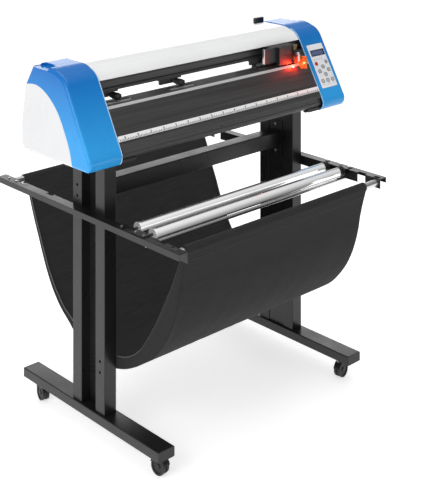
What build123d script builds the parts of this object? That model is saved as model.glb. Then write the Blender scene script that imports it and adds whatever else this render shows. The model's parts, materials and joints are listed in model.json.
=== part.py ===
"""Wide vinyl cutter on a wheeled stand with a fabric catch basket.

Frame: origin on the floor, midway between the two feet; +X to the operator's right, -Y to the
front, +Z up. Millimetres.
"""
from build123d import *
import math
import os

os.makedirs("parts", exist_ok=True)

# ---- driving dimensions: stand -------------------------------------------------------------
FOOT_X = 412.5            # centre of each foot tube
FOOT_W = 60.0
FOOT_H = 30.0
FOOT_LEN = 680.0
FOOT_BOTTOM = 60.0
FOOT_TOP = FOOT_BOTTOM + FOOT_H
WALL = 2.0                # wall of every tube and folded sheet
CAP_THICK = 3.0

POST_IN = 390.0           # inner face of a post
POST_OUT = 435.0
POST_SIDE = POST_OUT - POST_IN
POST_HALF_DEPTH = 80.0
BODY_BOTTOM = 865.0       # underside of the cutter, where the posts end
COLUMN_Y = POST_HALF_DEPTH - POST_SIDE / 2

BAR_BOTTOM = 724.0
BAR_TOP = 776.0
BAR_DEPTH = 50.0

RAIL_TOP = 692.0
RAIL_REAR = 456.0
RAIL_FRONT = {-1: -456.0, 1: -432.0}      # the right rail is cut shorter in front
RAIL_W = 32.0
RAIL_PLATE_H = 32.0
RAIL_LIP_H = 18.0

RAIL_SCREWS = (-284.0, -247.0, -183.0, 371.0, 413.0)

ROLLER_R = 16.0
ROLLER_Y = (-213.0, -281.0)
ROLLER_Z = 688.0
ROLLER_HALF = 408.0
AXLE_R = 5.0
RUN_GAP = 0.05            # radial running clearance

ROD_Y = 415.0
ROD_Z = 677.0
ROD_R = 11.0
ROD_WALL = 2.0
TIE_Z = 662.0
TIE_R = 6.0

BASKET_SKIN = 2.5
SLEEVE_GAP = 1.0          # play between a rod and its fabric sleeve

CASTER_X = 404.0
CASTER_Y = 288.0
WHEEL_R = 25.0
WHEEL_IN = 3.5
WHEEL_OUT = 12.0
CASTER_TRAIL = 12.0
STEM_R = 5.0

# ---- driving dimensions: cutter ------------------------------------------------------------
COVER_IN = 442.0          # inner edge of each end cover
COVER_OUT = 563.0
EDGE_R = 12.0             # rounding of the outer edge of a cover
SKIN = 3.0
ROCKER_X = 558.5          # pin of the power rocker, just inside the right panel
PLATE_IN = 452.0          # steel side plates
PLATE_OUT = 455.0
SPAN = PLATE_IN           # half length of the beam, platen and tray
MEDIA_Z = 1025.0          # flat top of the platen
BEAM_FRONT = -52.0
BEAM_BACK = 60.0
BEAM_BOTTOM = 1056.0
BEAM_TOP = 1104.0
BEAM_WALL = 3.5
GROOVE_Z = 1068.0         # carriage groove in the front of the beam

SHAFT_Y = -66.0
SHAFT_Z = 1016.0
SHAFT_R = 5.0
DRUM_R = 10.0
DRUM_LEN = 100.0
PINCH_X = (-375.0, -117.0, 286.0)   # wheel centres at rest
PINCH_WHEEL_R = 8.0
PINCH_LIFT = 2.5          # gap under the raised pinch wheels
PIVOT_Y = 6.0
PIVOT_Z = 1042.0
LIFT_Y = 74.0
LIFT_Z = 1062.0
LIFT_R = 5.0             # journals of the lift shaft
LOBE_REACH = 6.5         # from the shaft axis to the lobe tip that holds the arm tails down
TAIL_TOP = LIFT_Z - LOBE_REACH - 1.0

LEVER_X = 424.0           # arm of the pinch lever, at the right-hand rear
KNOB_X = 435.0

BLADE_X = 374.0
BLADE_Y = -104.0
CARRIAGE_X0 = 240.0
CARRIAGE_X1 = 378.0
CARRIAGE_BODY_X0 = 276.0  # the front plate reaches further left than the body behind it


def save(shape, name):
    """Label a finished piece and write it under the same name."""
    shape.label = name
    export_step(shape, f"parts/{name}.step")


def both(side_maker):
    """Make a piece for the left (-1) and the right (+1)."""
    return [side_maker(-1), side_maker(1)]


# ---- outlines drawn in the (Y, Z) plane ----------------------------------------------------
def housing_outline(inset=0.0):
    """Side outline of an end housing; every inset outline is parallel to the outer one."""
    with BuildSketch() as outline:
        with BuildLine():
            Line((-158, BODY_BOTTOM), (163, BODY_BOTTOM))
            Line((163, BODY_BOTTOM), (177, 885))
            Line((177, 885), (177, 955))
            Line((177, 955), (155, 1070))
            Line((155, 1070), (120, 1124))
            ThreePointArc((120, 1124), (112, 1134), (100, 1138))
            Line((100, 1138), (25, 1138))
            ThreePointArc((25, 1138), (1, 1135.5), (-20, 1129))
            ThreePointArc((-20, 1129), (-45, 1118), (-62, 1100))
            Line((-62, 1100), (-172.5, 905))
            ThreePointArc((-172.5, 905), (-175, 884), (-158, BODY_BOTTOM))
        make_face()
        if inset:
            offset(amount=-inset)
    return outline.sketch


def polygon(*points):
    """Closed flat outline through the given points."""
    with BuildSketch() as outline:
        with BuildLine():
            Polyline(*points, close=True)
        make_face()
    return outline.sketch


def white_region():
    """Part of an end housing that the white side panel covers: behind a sweeping arc."""
    with BuildSketch() as region:
        with BuildLine():
            Spline((190, 1060), (155, 1069), (90, 1077), (16, 1046), (-20, 1014), (-50, 970),
                   (-72, 931), (-87, 890), (-92, 850))
            Polyline((-92, 850), (190, 850), (190, 1060))
        make_face()
    return region.sketch


OUTER = housing_outline()
INNER = housing_outline(SKIN)
PLATE = housing_outline(6.0)
LID_OUT = housing_outline(2.5)
LID_IN = housing_outline(2.5 + SKIN)
WHITE = white_region()


# ---- stand: feet ---------------------------------------------------------------------------
# swivel axis of each caster and the way its axle points, in degrees; none sits quite central
CASTERS = {
    "front_left": (-CASTER_X, -CASTER_Y, 186),
    "rear_left": (-CASTER_X - 4, CASTER_Y, 168),
    "front_right": (CASTER_X - 8, -CASTER_Y, -82),
    "rear_right": (CASTER_X, CASTER_Y, 20),
}


def make_foot(side):
    """Rectangular tube with a hole for each caster stem and for each post bolt."""
    with BuildPart() as foot:
        with BuildSketch(Plane.XZ.offset(-(FOOT_LEN / 2 - CAP_THICK))):
            with Locations((side * FOOT_X, FOOT_BOTTOM + FOOT_H / 2)):
                RectangleRounded(FOOT_W, FOOT_H, 3)
                RectangleRounded(FOOT_W - 2 * WALL, FOOT_H - 2 * WALL, 1, mode=Mode.SUBTRACT)
        extrude(amount=FOOT_LEN - 2 * CAP_THICK)
        stems = [(x, y, FOOT_BOTTOM + WALL / 2) for x, y, _ in CASTERS.values() if x * side > 0]
        with Locations(*stems):
            Cylinder(STEM_R, WALL, mode=Mode.SUBTRACT)
        with Locations(*[(side * FOOT_X, y, FOOT_BOTTOM + FOOT_H / 2) for y in (-COLUMN_Y, COLUMN_Y)]):
            Cylinder(4.2, FOOT_H, mode=Mode.SUBTRACT)
    return foot.part


left_foot, right_foot = both(make_foot)
save(left_foot, "left_foot")
save(right_foot, "right_foot")

with BuildPart() as foot_caps:
    for side in (-1, 1):
        for end in (-1, 1):
            with BuildSketch(Plane.XZ.offset(-end * FOOT_LEN / 2)):
                with Locations((side * FOOT_X, FOOT_BOTTOM + FOOT_H / 2)):
                    RectangleRounded(FOOT_W, FOOT_H, 3)
            extrude(amount=end * CAP_THICK)
            with BuildSketch(Plane.XZ.offset(-end * (FOOT_LEN / 2 - CAP_THICK))):
                with Locations((side * FOOT_X, FOOT_BOTTOM + FOOT_H / 2)):
                    Rectangle(FOOT_W - 2 * WALL - 3, FOOT_H - 2 * WALL - 3)
            extrude(amount=end * 12)
save(foot_caps.part, "foot_caps")


# ---- stand: posts, crossbar ----------------------------------------------------------------
def make_post(side):
    """Two square columns joined by a web set back 3 mm from the inner face."""
    middle = side * (POST_IN + POST_OUT) / 2
    web_x = side * (POST_IN + 3 + 4)
    with BuildPart() as post:
        with BuildSketch(Plane.XY.offset(FOOT_TOP)):
            with Locations((middle, -COLUMN_Y), (middle, COLUMN_Y)):
                RectangleRounded(POST_SIDE, POST_SIDE, 2)
            with Locations((web_x, 0)):
                Rectangle(8, 2 * COLUMN_Y)
            with Locations((middle, -COLUMN_Y), (middle, COLUMN_Y)):
                Rectangle(POST_SIDE - 2 * WALL, POST_SIDE - 2 * WALL, mode=Mode.SUBTRACT)
        extrude(amount=BODY_BOTTOM - FOOT_TOP)
        # threaded end plugs that take the foot bolts and the cutter bolts
        for plug_z in (FOOT_TOP + 4, BODY_BOTTOM - 4):
            with Locations((middle, -COLUMN_Y, plug_z), (middle, COLUMN_Y, plug_z)):
                Box(POST_SIDE - 2, POST_SIDE - 2, 8)
                Cylinder(4, 8, mode=Mode.SUBTRACT)
        # height holes in the outer face
        hole_x = side * (POST_OUT - WALL / 2)
        holes = [(hole_x, COLUMN_Y, 754), (hole_x, COLUMN_Y, 720)]
        holes += [(hole_x, -COLUMN_Y, 248), (hole_x, -COLUMN_Y, 215)]
        with Locations(*[Location(p, (0, 90, 0)) for p in holes]):
            Cylinder(4.5, 3 * WALL, mode=Mode.SUBTRACT)
        # bolt holes for the side rail
        rail = [(hole_x, y, RAIL_TOP - 18) for y in (-COLUMN_Y, COLUMN_Y)]
        with Locations(*[Location(p, (0, 90, 0)) for p in rail]):
            Cylinder(3, 3 * WALL, mode=Mode.SUBTRACT)
        # bolt holes for the crossbar plate
        with Locations(*[Location((web_x, 0, z), (0, 90, 0)) for z in (BAR_BOTTOM - 20, BAR_TOP + 20)]):
            Cylinder(3, 10, mode=Mode.SUBTRACT)
    return post.part


left_post, right_post = both(make_post)
save(left_post, "left_post")
save(right_post, "right_post")

with BuildPart() as crossbar:
    with BuildSketch(Plane.YZ.offset(-POST_IN)):
        with Locations((0, (BAR_BOTTOM + BAR_TOP) / 2)):
            RectangleRounded(BAR_DEPTH, BAR_TOP - BAR_BOTTOM, 3)
            Rectangle(BAR_DEPTH - 2 * WALL, BAR_TOP - BAR_BOTTOM - 2 * WALL, mode=Mode.SUBTRACT)
    extrude(amount=2 * POST_IN)
    for side in (-1, 1):
        with Locations((side * (POST_IN + 1.5), 0, (BAR_BOTTOM + BAR_TOP) / 2)):
            Box(3, 60, BAR_TOP - BAR_BOTTOM + 66)
        with Locations(*[Location((side * (POST_IN + 1.5), 0, z), (0, 90, 0))
                         for z in (BAR_BOTTOM - 20, BAR_TOP + 20)]):
            Cylinder(3, 3, mode=Mode.SUBTRACT)
save(crossbar.part, "crossbar")


# ---- stand: side rails ---------------------------------------------------------------------
def make_rail(side):
    """Folded channel: inner plate against the posts, flange on top, short outer lip."""
    plate_x = side * (POST_OUT + WALL / 2)
    flange_x = side * (POST_OUT + RAIL_W / 2)
    lip_x = side * (POST_OUT + RAIL_W - WALL / 2)
    length = RAIL_REAR - RAIL_FRONT[side]
    middle_y = (RAIL_REAR + RAIL_FRONT[side]) / 2
    with BuildPart() as rail:
        with Locations((plate_x, middle_y, RAIL_TOP - RAIL_PLATE_H / 2)):
            Box(WALL, length, RAIL_PLATE_H)
        with Locations((flange_x, middle_y, RAIL_TOP - WALL / 2)):
            Box(RAIL_W, length, WALL)
        with Locations((lip_x, middle_y, RAIL_TOP - RAIL_LIP_H / 2)):
            Box(WALL, length, RAIL_LIP_H)
        # relief notches in the inner plate and the inner edge of the flange
        notch_x = side * (POST_OUT + 5)
        plate_z = RAIL_TOP - RAIL_PLATE_H / 2
        with Locations((notch_x, -352, plate_z), (notch_x, 352, plate_z)):
            Box(12, 34, RAIL_PLATE_H + 2, mode=Mode.SUBTRACT)
        with Locations((notch_x, 193, RAIL_TOP)):
            Box(12, 30, 20, mode=Mode.SUBTRACT)
        # clearance in the flange over the front basket rod bolt
        with Locations((side * (POST_OUT + 9), 3 - ROD_Y, RAIL_TOP)):
            Box(14, 22, 6, mode=Mode.SUBTRACT)
        # bolt holes through the inner plate
        bolts = [(plate_x, y, RAIL_TOP - 18) for y in (-COLUMN_Y, COLUMN_Y)]
        bolts += [(plate_x, y, ROD_Z) for y in (-ROD_Y, ROD_Y)]
        bolts += [(plate_x, ROLLER_Y[1], TIE_Z)]
        with Locations(*[Location(p, (0, 90, 0)) for p in bolts]):
            Cylinder(3, 2 * WALL, mode=Mode.SUBTRACT)
        # screw holes in the flange beside the rollers and at the back
        screws = [(flange_x, y, RAIL_TOP - 1) for y in RAIL_SCREWS]
        with Locations(*screws):
            Cylinder(2, 2 * WALL, mode=Mode.SUBTRACT)
    return rail.part


left_rail, right_rail = both(make_rail)
save(left_rail, "left_rail")
save(right_rail, "right_rail")

# tubular basket rods front and back, and the thin tie rod under the rollers, with solid ends
with BuildPart() as cross_rods:
    rods = [(-ROD_Y, ROD_Z, ROD_R), (ROD_Y, ROD_Z, ROD_R), (ROLLER_Y[1], TIE_Z, TIE_R)]
    for rod_y, rod_z, rod_r in rods:
        with Locations(Location((0, rod_y, rod_z), (0, 90, 0))):
            Cylinder(rod_r, 2 * POST_OUT)
            Cylinder(rod_r - ROD_WALL, 2 * POST_OUT - 80, mode=Mode.SUBTRACT)
        for side in (-1, 1):
            with Locations(Location((side * (POST_OUT - 10), rod_y, rod_z), (0, 90, 0))):
                Cylinder(3, 20, mode=Mode.SUBTRACT)
save(cross_rods.part, "cross_rods")

# ---- stand: catch basket -------------------------------------------------------------------
# outside of the hanging sheet in the (Y, Z) plane, from the front sleeve to the rear sleeve
HANG = [(-429.5, 677), (-423, 653), (-412, 615), (-402, 575), (-394, 533), (-382, 490), (-365, 446),
        (-340, 400), (-306, 356), (-268, 318), (-218, 284), (-165, 252), (-108, 226), (-50, 211),
        (10, 207), (68, 218), (115, 242), (160, 279), (210, 317), (251, 362), (283, 412), (308, 461),
        (332, 513), (357, 566), (380, 622), (394, 652), (403, 677)]
# hem of the two end flaps, which stand up from the front and the bottom of the sheet
RIM = [(-427.5, 677), (-419, 661), (-395, 630), (-365, 567), (-306, 460), (-256, 385),
       (-206, 323), (-154, 283), (-100, 260), (-40, 248), (20, 246), (76, 256), (124, 278), (162, 301), (202, 330), (242, 373),
       (274, 420), (302, 473), (326, 525), (352, 578), (374, 630), (390, 662), (397, 677)]
# the sheet hangs askew: its ends in plan, (Y, X), from the front rod to the rear rod
LEFT_END = [(-440, -417), (-85, -388.5), (85, -388), (440, -387)]
RIGHT_END = [(-440, 366), (-85, 384), (85, 387.5), (440, 409)]


def inset(points, amount):
    """Points moved square to the curve, towards the inside of the hanging loop."""
    moved = []
    for i, (y, z) in enumerate(points):
        y0, z0 = points[max(i - 1, 0)]
        y1, z1 = points[min(i + 1, len(points) - 1)]
        run = math.hypot(y1 - y0, z1 - z0)
        moved.append((y - (z1 - z0) / run * amount, z + (y1 - y0) / run * amount))
    return moved


def hanging_curve(points, rise=0.0):
    """Closed outline under a hanging curve; rise lifts both ends so that a cut breaks through."""
    with BuildSketch() as outline:
        with BuildLine():
            Spline(*points)
            front = points[0]
            back = points[-1]
            Polyline(back, (back[0], back[1] + 1 + rise), (front[0], front[1] + 1 + rise), front)
        make_face()
    return outline.sketch


def basket_plan(edge=0.0):
    """Outline of the sheet in plan, drawn in by edge at both ends."""
    left = [(x + edge, y) for y, x in LEFT_END]
    right = [(x - edge, y) for y, x in reversed(RIGHT_END)]
    return polygon(*left, *right)


sheet_outer = hanging_curve(HANG)
sheet_inner = hanging_curve(inset(HANG, BASKET_SKIN), rise=20)
flap_hem = hanging_curve(RIM, rise=20)
FULL = 2 * POST_OUT

with BuildPart() as basket_sheet:
    with BuildSketch(Plane.YZ.offset(-POST_OUT)):
        add(sheet_outer)
        add(sheet_inner, mode=Mode.SUBTRACT)
    extrude(amount=FULL)
    with BuildSketch(Plane.XY.offset(100)):
        add(basket_plan())
    extrude(amount=700, mode=Mode.INTERSECT)

with BuildPart() as basket_flaps:
    with BuildSketch(Plane.YZ.offset(-POST_OUT)):
        add(sheet_outer)
        add(flap_hem, mode=Mode.SUBTRACT)
    extrude(amount=FULL)
    with BuildSketch(Plane.XY.offset(100)):
        add(basket_plan())
        add(basket_plan(BASKET_SKIN), mode=Mode.SUBTRACT)
    extrude(amount=700, mode=Mode.INTERSECT)

with BuildPart() as basket_sleeves:
    for side in (-1, 1):
        with BuildSketch(Plane.YZ.offset(-POST_OUT)):
            with Locations((side * ROD_Y, ROD_Z)):
                Circle(ROD_R + SLEEVE_GAP + BASKET_SKIN)
                Circle(ROD_R + SLEEVE_GAP, mode=Mode.SUBTRACT)
        extrude(amount=FULL)
    with BuildSketch(Plane.XY.offset(100)):
        add(basket_plan())
    extrude(amount=700, mode=Mode.INTERSECT)

with BuildPart() as catch_basket:
    add(basket_sheet.part)
    add(basket_flaps.part)
    add(basket_sleeves.part)
save(catch_basket.part, "catch_basket")


# ---- stand: media rollers ------------------------------------------------------------------
def make_roller(y):
    """Chrome tube with a plastic end plug that turns on a stub axle at each end."""
    with BuildPart() as roller:
        with Locations(Location((0, y, ROLLER_Z), (0, 90, 0))):
            Cylinder(ROLLER_R, 2 * ROLLER_HALF)
            Cylinder(ROLLER_R - 1.5, 2 * ROLLER_HALF, mode=Mode.SUBTRACT)
        for side in (-1, 1):
            with Locations(Location((side * (ROLLER_HALF - 10), y, ROLLER_Z), (0, 90, 0))):
                Cylinder(ROLLER_R - 1.5, 20)
            with Locations(Location((side * (ROLLER_HALF + 4), y, ROLLER_Z), (0, 90, 0))):
                Cylinder(ROLLER_R + 1.5, 8)
            with Locations(Location((side * (ROLLER_HALF - 6), y, ROLLER_Z), (0, 90, 0))):
                Cylinder(AXLE_R + RUN_GAP, 36, mode=Mode.SUBTRACT)
    return roller.part


rear_roller = make_roller(ROLLER_Y[0])
front_roller = make_roller(ROLLER_Y[1])
save(rear_roller, "rear_roller")
save(front_roller, "front_roller")

# bracket plates bolted inside the rails, each with the stub axle that a roller turns on
with BuildPart() as roller_brackets:
    for side in (-1, 1):
        for y in ROLLER_Y:
            with Locations((side * (POST_OUT - 2), y + 14, ROLLER_Z - 1)):
                Box(4, 54, 14)
            with Locations(Location((side * (POST_OUT - 22), y, ROLLER_Z), (0, 90, 0))):
                Cylinder(AXLE_R, 40)
        # tabs that hook over the flange and take the screws
        with Locations((side * (POST_OUT + 11), -183, RAIL_TOP + 1)):
            Box(30, 18, 2)
        with Locations((side * (POST_OUT + 11), -265.5, RAIL_TOP + 1)):
            Box(30, 55, 2)
        with Locations(*[(side * (POST_OUT + RAIL_W / 2), y, RAIL_TOP + 1) for y in RAIL_SCREWS[:3]]):
            Cylinder(2, 4, mode=Mode.SUBTRACT)
save(roller_brackets.part, "roller_brackets")

# ---- stand: bolts and screws ---------------------------------------------------------------
with BuildPart() as frame_bolts:
    for side in (-1, 1):
        middle = side * (POST_IN + POST_OUT) / 2
        for y in (-COLUMN_Y, COLUMN_Y):
            # up through the foot into the post
            with Locations((side * FOOT_X, y, FOOT_BOTTOM - 2.5)):
                Cylinder(6.5, 5)
            with Locations((side * FOOT_X, y, FOOT_BOTTOM + 19)):
                Cylinder(3.9, 38)
            # down through the tray into the post
            with Locations((middle, y, BODY_BOTTOM + 4.5)):
                Cylinder(6.5, 5)
            with Locations((middle, y, BODY_BOTTOM - 2.5)):
                Cylinder(3.9, 9)
            # through the rail into the post
            with Locations(Location((side * (POST_OUT + WALL + 2), y, RAIL_TOP - 18), (0, 90, 0))):
                Cylinder(5, 4)
            with Locations(Location((side * (POST_OUT - 3), y, RAIL_TOP - 18), (0, 90, 0))):
                Cylinder(2.9, 10)
        for z in (BAR_BOTTOM - 20, BAR_TOP + 20):
            # through the crossbar plate into the post web
            with Locations(Location((side * (POST_IN - 2), 0, z), (0, 90, 0))):
                Cylinder(5, 4)
            with Locations(Location((side * (POST_IN + 5), 0, z), (0, 90, 0))):
                Cylinder(2.9, 10)
save(frame_bolts.part, "frame_bolts")

with BuildPart() as rail_screws:
    for side in (-1, 1):
        for y, z in ((-ROD_Y, ROD_Z), (ROD_Y, ROD_Z), (ROLLER_Y[1], TIE_Z)):
            with Locations(Location((side * (POST_OUT + WALL + 2), y, z), (0, 90, 0))):
                Cylinder(5, 4)
            with Locations(Location((side * (POST_OUT - 6), y, z), (0, 90, 0))):
                Cylinder(2.9, 16)
        for y in RAIL_SCREWS:
            seat = RAIL_TOP + 2 if y < 0 else RAIL_TOP
            with Locations((side * (POST_OUT + RAIL_W / 2), y, seat + 1.5)):
                Cylinder(3.5, 3)
            with Locations((side * (POST_OUT + RAIL_W / 2), y, RAIL_TOP - 1)):
                Cylinder(1.9, 8)
save(rail_screws.part, "rail_screws")

# ---- stand: casters ------------------------------------------------------------------------
# stem position and swivel angle of each caster at rest

with BuildPart() as caster_stems:
    for stem_x, stem_y, _ in CASTERS.values():
        with Locations((stem_x, stem_y, FOOT_BOTTOM + 4)):
            Cylinder(STEM_R, 8)
        with Locations((stem_x, stem_y, FOOT_BOTTOM - 1.5)):
            Cylinder(9, 3)
        with Locations((stem_x, stem_y, FOOT_BOTTOM - 5.5)):
            Cylinder(4, 10)
        with Locations((stem_x, stem_y, FOOT_BOTTOM + WALL + 3)):
            Cylinder(8, 6)
save(caster_stems.part, "caster_stems")


def caster_plane(stem_x, stem_y, turn):
    """Plane across the wheels: its normal is the axle, its x axis points away from the stem."""
    direction = (math.cos(math.radians(turn)), math.sin(math.radians(turn)), 0)
    trail = (-direction[1] * CASTER_TRAIL, direction[0] * CASTER_TRAIL)
    return Plane(origin=(stem_x + trail[0], stem_y + trail[1], WHEEL_R),
                 x_dir=(-direction[1], direction[0], 0), z_dir=direction)


def make_fork(stem_x, stem_y, turn):
    """Web between the twin wheels, hood over them, stem boss and axle."""
    across = caster_plane(stem_x, stem_y, turn)
    with BuildPart() as fork:
        with BuildSketch(across.offset(-3)):
            Circle(WHEEL_R - 3)
            with Locations((0, 22)):
                Rectangle(24, 12)
        extrude(amount=6)
        with BuildSketch(across.offset(-WHEEL_OUT)):
            Circle(WHEEL_R + 4)
            Circle(WHEEL_R + 1.5, mode=Mode.SUBTRACT)
            with Locations((0, -20)):
                Rectangle(80, 54, mode=Mode.SUBTRACT)
        extrude(amount=2 * WHEEL_OUT)
        with BuildSketch(across.offset(-WHEEL_OUT - 0.5)):
            Circle(4)
        extrude(amount=2 * WHEEL_OUT + 1)
        with Locations((stem_x, stem_y, 53.5)):
            Cylinder(8, 6.5)
        with Locations((stem_x, stem_y, 53)):
            Cylinder(4 + RUN_GAP, 12, mode=Mode.SUBTRACT)
    return fork.part


def make_wheels(stem_x, stem_y, turn):
    """Pair of caster wheels on one axle, recessed on their outer faces."""
    across = caster_plane(stem_x, stem_y, turn)
    with BuildPart() as wheels:
        for start in (WHEEL_IN, -WHEEL_OUT):
            with BuildSketch(across.offset(start)):
                Circle(WHEEL_R)
                Circle(4 + RUN_GAP, mode=Mode.SUBTRACT)
            extrude(amount=WHEEL_OUT - WHEEL_IN)
        for start, depth in ((WHEEL_OUT, -2.5), (-WHEEL_OUT, 2.5)):
            with BuildSketch(across.offset(start)):
                Circle(WHEEL_R - 5)
                Circle(8, mode=Mode.SUBTRACT)
            extrude(amount=depth, mode=Mode.SUBTRACT)
    return wheels.part


for place, (stem_x, stem_y, turn) in CASTERS.items():
    save(make_fork(stem_x, stem_y, turn), f"caster_fork_{place}")
    save(make_wheels(stem_x, stem_y, turn), f"caster_wheels_{place}")

# ---- cutter: chassis -----------------------------------------------------------------------
with BuildPart() as base_tray:
    with BuildSketch(Plane.YZ.offset(-SPAN)):
        add(polygon((-150, 878), (-122, BODY_BOTTOM), (166, BODY_BOTTOM), (166, 928), (164, 928),
                    (164, BODY_BOTTOM + 2), (-121.5, BODY_BOTTOM + 2), (-148, 879.3), (-148, 905),
                    (-150, 905)))
    extrude(amount=2 * SPAN)
    for side in (-1, 1):
        middle = side * (POST_IN + POST_OUT) / 2
        with Locations((middle, -COLUMN_Y, BODY_BOTTOM + 1), (middle, COLUMN_Y, BODY_BOTTOM + 1)):
            Cylinder(3.9, 6, mode=Mode.SUBTRACT)
save(base_tray.part, "base_tray")

with BuildPart() as side_plates:
    for side in (-1, 1):
        with BuildSketch(Plane.YZ.offset(side * PLATE_IN)):
            add(PLATE)
            with Locations((SHAFT_Y, SHAFT_Z)):
                Circle(SHAFT_R + RUN_GAP, mode=Mode.SUBTRACT)
            with Locations((LIFT_Y, LIFT_Z)):
                Circle(LIFT_R + RUN_GAP, mode=Mode.SUBTRACT)
            with Locations((60, 980)):
                Rectangle(70, 60, mode=Mode.SUBTRACT)
            with Locations((0, 1135)):
                Rectangle(400, 28, mode=Mode.SUBTRACT)
        extrude(amount=side * (PLATE_OUT - PLATE_IN))
save(side_plates.part, "side_plates")

# platen: ruler slope, bevel for the cutting strip, flat media surface, long rear slope
with BuildPart() as platen:
    with BuildSketch(Plane.YZ.offset(-SPAN)):
        add(polygon((-160, 928), (-109, 1018.5), (-101, MEDIA_Z), (-36, MEDIA_Z), (-24, 1019),
                    (158, 932), (158, 928), (-26, 1015), (-37, 1021), (-99, 1021), (-106, 1016),
                    (-155, 928)))
    extrude(amount=2 * SPAN)
    for x in PINCH_X:
        with Locations((x, SHAFT_Y, MEDIA_Z)):
            Box(DRUM_LEN + 4, 24, 12, mode=Mode.SUBTRACT)
    # front corners stop short of the covers
    for side in (-1, 1):
        with Locations((side * (COVER_IN + 9.5), -131, 975)):
            Box(20, 70, 130, mode=Mode.SUBTRACT)
save(platen.part, "platen")

# front apron under the ruler, with a raised band and a rounded bracket at each end
with BuildPart() as front_apron:
    with BuildSketch(Plane.YZ.offset(-COVER_IN + 0.5)):
        add(polygon((-160.5, 927.5), (-167, 916), (-167, 912), (-164.5, 910), (-164.5, 897), (-167, 895),
                    (-167, 888), (-159, 879), (-151, 879), (-151, 882), (-158, 882), (-164, 889),
                    (-164, 893), (-161.5, 896), (-161.5, 911), (-164, 913), (-164, 915),
                    (-157, 927.5)))
    extrude(amount=2 * COVER_IN - 1)
    for x in (-433, -31, 372, 433):
        with Locations(Location((x, -163, 903), (90, 0, 0))):
            Cylinder(2.5, 8, mode=Mode.SUBTRACT)
save(front_apron.part, "front_apron")

# rounded lugs under the ends of the apron
with BuildPart() as apron_brackets:
    for side in (-1, 1):
        with BuildSketch(Plane.XZ.offset(150.5)):
            with Locations((side * 409, 883)):
                RectangleRounded(62, 30, 8)
            with Locations((0, 899)):
                Rectangle(1000, 41, mode=Mode.SUBTRACT)
        extrude(amount=12)
save(apron_brackets.part, "apron_brackets")

with BuildPart() as ruler_strip:
    with BuildSketch(Plane.YZ.offset(-COVER_IN + 0.5)):
        add(polygon((-158.9, 931.5), (-150.5, 946.4), (-151.4, 946.9), (-159.8, 932)))
    extrude(amount=2 * COVER_IN - 1)
save(ruler_strip.part, "ruler_strip")

with BuildPart() as cutting_strip:
    with BuildSketch(Plane.YZ.offset(-COVER_IN + 0.5)):
        add(polygon((-109, 1018.7), (-101.3, 1025.05), (-102.2, 1026.3), (-110, 1019.9)))
    extrude(amount=2 * COVER_IN - 1)
save(cutting_strip.part, "cutting_strip")

# box beam with a carriage groove in its face and a hanger slot underneath
with BuildPart() as carriage_beam:
    with BuildSketch(Plane.YZ.offset(-SPAN)):
        with Locations(((BEAM_FRONT + BEAM_BACK) / 2, (BEAM_BOTTOM + BEAM_TOP) / 2)):
            Rectangle(BEAM_BACK - BEAM_FRONT, BEAM_TOP - BEAM_BOTTOM)
        with Locations(((BEAM_BACK - BEAM_WALL - 42) / 2, 1084.5)):
            Rectangle(BEAM_BACK - BEAM_WALL + 42, 31, mode=Mode.SUBTRACT)
        with Locations(((BEAM_BACK - BEAM_WALL - 8) / 2, 1062)):
            Rectangle(BEAM_BACK - BEAM_WALL + 8, 6, mode=Mode.SUBTRACT)
        with Locations((BEAM_FRONT + 3, GROOVE_Z)):
            Rectangle(6, 8, mode=Mode.SUBTRACT)
        with Locations((BEAM_FRONT + 1, 1090)):
            Rectangle(2, 4, mode=Mode.SUBTRACT)
        with Locations((BEAM_FRONT + 1, 1059)):
            Rectangle(2, 2, mode=Mode.SUBTRACT)
        with Locations((-20, BEAM_BOTTOM + 3)):
            Rectangle(8, 6, mode=Mode.SUBTRACT)
        with Locations((-20, BEAM_BOTTOM + 7)):
            Rectangle(16, 4, mode=Mode.SUBTRACT)
    extrude(amount=2 * SPAN)
save(carriage_beam.part, "carriage_beam")

# ---- cutter: covers ------------------------------------------------------------------------
with BuildPart() as top_cover:
    with BuildSketch(Plane.YZ.offset(-COVER_IN + 0.4)):
        add(LID_OUT)
        add(LID_IN, mode=Mode.SUBTRACT)
        add(polygon((-200, 800), (200, 800), (200, 1086), (0, 1086), (-66, 1096), (-200, 1096)),
            mode=Mode.SUBTRACT)
    extrude(amount=2 * COVER_IN - 0.8)
    # slot for the lever arm, open at the rear edge
    with Locations((LEVER_X, 137, 1096)):
        Box(14, 60, 56, mode=Mode.SUBTRACT)
save(top_cover.part, "top_cover")

with BuildPart() as rear_panel:
    with BuildSketch(Plane.YZ.offset(-COVER_IN + 0.4)):
        add(polygon((166.5, 866), (172, 880), (172, 930), (160, 948), (157, 946), (169, 929),
                    (169, 882), (166.5, 876)))
    extrude(amount=2 * COVER_IN - 0.8)
save(rear_panel.part, "rear_panel")


with BuildPart() as cavity:
    with BuildSketch(Plane.YZ.offset(COVER_IN)):
        add(INNER)
    extrude(amount=COVER_OUT - COVER_IN - SKIN)
    inner_edge = COVER_OUT - SKIN
    fillet(cavity.edges().filter_by_position(Axis.X, inner_edge - 0.1, inner_edge + 0.1), EDGE_R - SKIN)
    # ceiling under the stepped shoulder
    with Locations((COVER_OUT - 60, 75, 1135)):
        Box(200, 300, 22, mode=Mode.SUBTRACT)

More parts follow.
